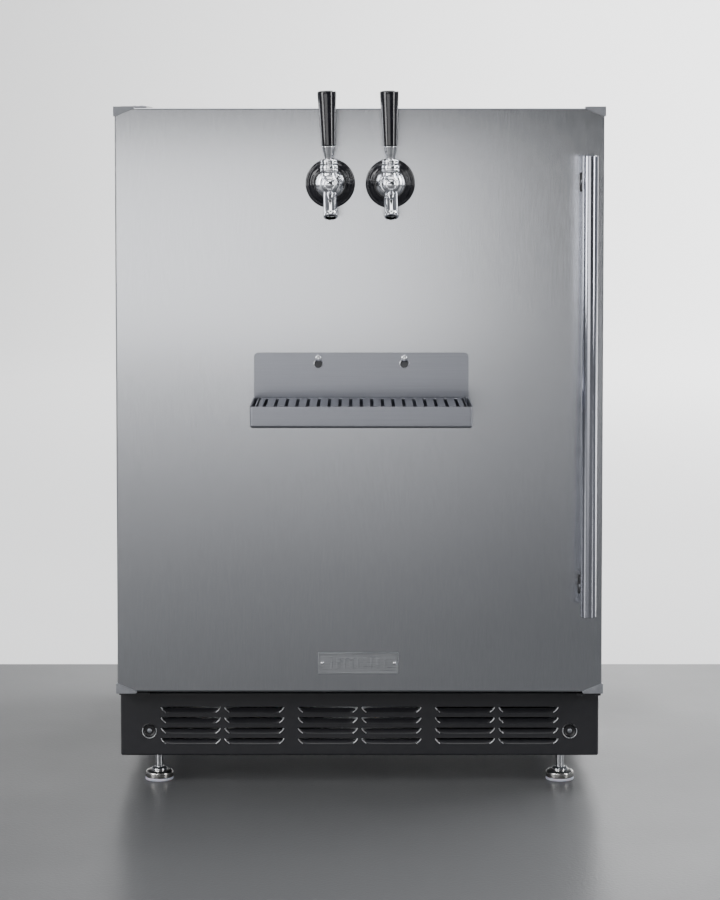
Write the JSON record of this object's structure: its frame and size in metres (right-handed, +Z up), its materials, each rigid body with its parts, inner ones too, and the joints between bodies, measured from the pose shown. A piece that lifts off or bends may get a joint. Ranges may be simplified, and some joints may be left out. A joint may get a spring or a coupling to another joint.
{
  "type": "kegerator",
  "caption": "Undercounter draught beer refrigerator with a hinged stainless door carrying lever faucets and a drip tray, on levelling feet.",
  "frame": {"origin": "on the floor under the feet, at the middle of the object's footprint", "axes": "+Z up, -Y to the front (the door and the taps), +X to the right as one faces the door"},
  "size_m": [0.6032, 0.7353, 0.8702],
  "materials": {
    "stainless": "fine vertical brushing, satin",
    "tray_steel": "satin sheet, fine grain",
    "satin_grey": "satin grey coat",
    "badge": "satin plate",
    "chrome": "polished",
    "black_gloss": "polished black",
    "black_plastic": "fine texture",
    "pale_plastic": "smooth moulded",
    "white_plastic": "vacuum-formed, slight orange peel",
    "foam": "rigid foam, hidden",
    "gasket_rubber": "soft matte",
    "black_steel": "fine textured powder coat",
    "zinc": "zinc plated",
    "fins": "black dipped fins"
  },
  "bodies": {
    "cabinet": {"left_side_panel": "black_steel", "right_side_panel": "black_steel", "top_panel": "black_steel", "back_panel": "black_steel", "base_pan": "zinc", "cabinet_liner": "white_plastic", "cabinet_foam": "foam", "keg_floor_plate": "stainless", "evaporator_cover": "white_plastic", "control_box": "white_plastic", "upper_hinge": "zinc", "lower_hinge": "zinc", "stop_bracket": "zinc", "kick_grille": "black_steel", "compressor": "black_steel", "condenser": "fins", "power_inlet": "black_plastic"},
    "door": {"door_skin": "stainless", "door_foam": "foam", "door_liner": "white_plastic", "door_gasket": "gasket_rubber", "corner_cap_upper_left": "satin_grey", "corner_cap_upper_right": "satin_grey", "corner_cap_lower_left": "satin_grey", "corner_cap_lower_right": "satin_grey", "handle_bar": "chrome", "handle_post_lower": "black_plastic", "handle_post_upper": "black_plastic", "badge_plate": "badge", "tray_screw_left": "chrome", "tray_screw_right": "chrome", "tap_left_flange": "black_gloss", "tap_left_shank": "chrome", "tap_left_coupling_nut": "chrome", "tap_left_faucet_body": "chrome", "tap_left_bonnet": "chrome", "tap_right_flange": "black_gloss", "tap_right_shank": "chrome", "tap_right_coupling_nut": "chrome", "tap_right_faucet_body": "chrome", "tap_right_bonnet": "chrome"},
    "left_lever": {"tap_left_lever": "chrome", "tap_left_knob": "black_gloss"},
    "right_lever": {"tap_right_lever": "chrome", "tap_right_knob": "black_gloss"},
    "left_plunger": {"tap_left_plunger": "chrome"},
    "right_plunger": {"tap_right_plunger": "chrome"},
    "tray": {"drip_tray": "tray_steel"},
    "grate": {"drip_grate": "tray_steel"},
    "front_left_foot": {"foot_stem_front_left": "chrome", "foot_pad_front_left": "pale_plastic"},
    "front_right_foot": {"foot_stem_front_right": "chrome", "foot_pad_front_right": "pale_plastic"},
    "rear_left_foot": {"foot_stem_rear_left": "chrome", "foot_pad_rear_left": "pale_plastic"},
    "rear_right_foot": {"foot_stem_rear_right": "chrome", "foot_pad_rear_right": "pale_plastic"},
    "thermostat_knob": {"control_knob": "black_plastic"},
    "cold_fan": {"evaporator_fan": "black_plastic"},
    "hot_fan": {"condenser_fan": "black_plastic"}
  },
  "joints": [
    {"name": "door_swing", "type": "hinge", "parent": "cabinet", "child": "door", "pos_m": [-0.286, -0.2145, 0], "axis": [0, 0, -1], "range_deg": [0, 110]},
    {"name": "left_lever_pull", "type": "hinge", "parent": "door", "child": "left_lever", "pos_m": [-0.03621, -0.3045, 0.76799], "axis": [0.9995, 0, 0.0314], "range_deg": [0, 25]},
    {"name": "right_lever_pull", "type": "hinge", "parent": "door", "child": "right_lever", "pos_m": [0.03742, -0.3045, 0.768], "axis": [0.9998, 0, 0.0175], "range_deg": [0, 25]},
    {"name": "left_plunger_slide", "type": "slide", "parent": "door", "child": "left_plunger", "axis": [0, 1, 0], "range_m": [0, 0.0035]},
    {"name": "right_plunger_slide", "type": "slide", "parent": "door", "child": "right_plunger", "axis": [0, 1, 0], "range_m": [0, 0.0035]},
    {"name": "tray_lift", "type": "slide", "parent": "door", "child": "tray", "axis": [0, 0, 1], "range_m": [0, 0.0072]},
    {"name": "grate_lift", "type": "slide", "parent": "tray", "child": "grate", "axis": [0, 0, 1], "range_m": [0, 0.06]},
    {"name": "front_left_foot_screw", "type": "slide", "parent": "cabinet", "child": "front_left_foot", "axis": [0, 0, -1], "range_m": [0, 0.015]},
    {"name": "front_right_foot_screw", "type": "slide", "parent": "cabinet", "child": "front_right_foot", "axis": [0, 0, -1], "range_m": [0, 0.015]},
    {"name": "rear_left_foot_screw", "type": "slide", "parent": "cabinet", "child": "rear_left_foot", "axis": [0, 0, -1], "range_m": [0, 0.015]},
    {"name": "rear_right_foot_screw", "type": "slide", "parent": "cabinet", "child": "rear_right_foot", "axis": [0, 0, -1], "range_m": [0, 0.015]},
    {"name": "thermostat_turn", "type": "hinge", "parent": "cabinet", "child": "thermostat_knob", "pos_m": [0.1975, -0.1103, 0.79], "axis": [0, -1, 0], "range_deg": [0, 270]},
    {"name": "cold_fan_spin", "type": "hinge", "parent": "cabinet", "child": "cold_fan", "pos_m": [0, 0.2905, 0.71], "axis": [0, 1, 0], "continuous": true},
    {"name": "hot_fan_spin", "type": "hinge", "parent": "cabinet", "child": "hot_fan", "pos_m": [0.1, 0.3, 0.135], "axis": [0, 1, 0], "continuous": true}
  ],
  "couplings": [
    {"joint": "left_plunger_slide", "follows": "left_lever_pull", "m_per_rad": 0.00775},
    {"joint": "right_plunger_slide", "follows": "right_lever_pull", "m_per_rad": 0.00775}
  ]
}
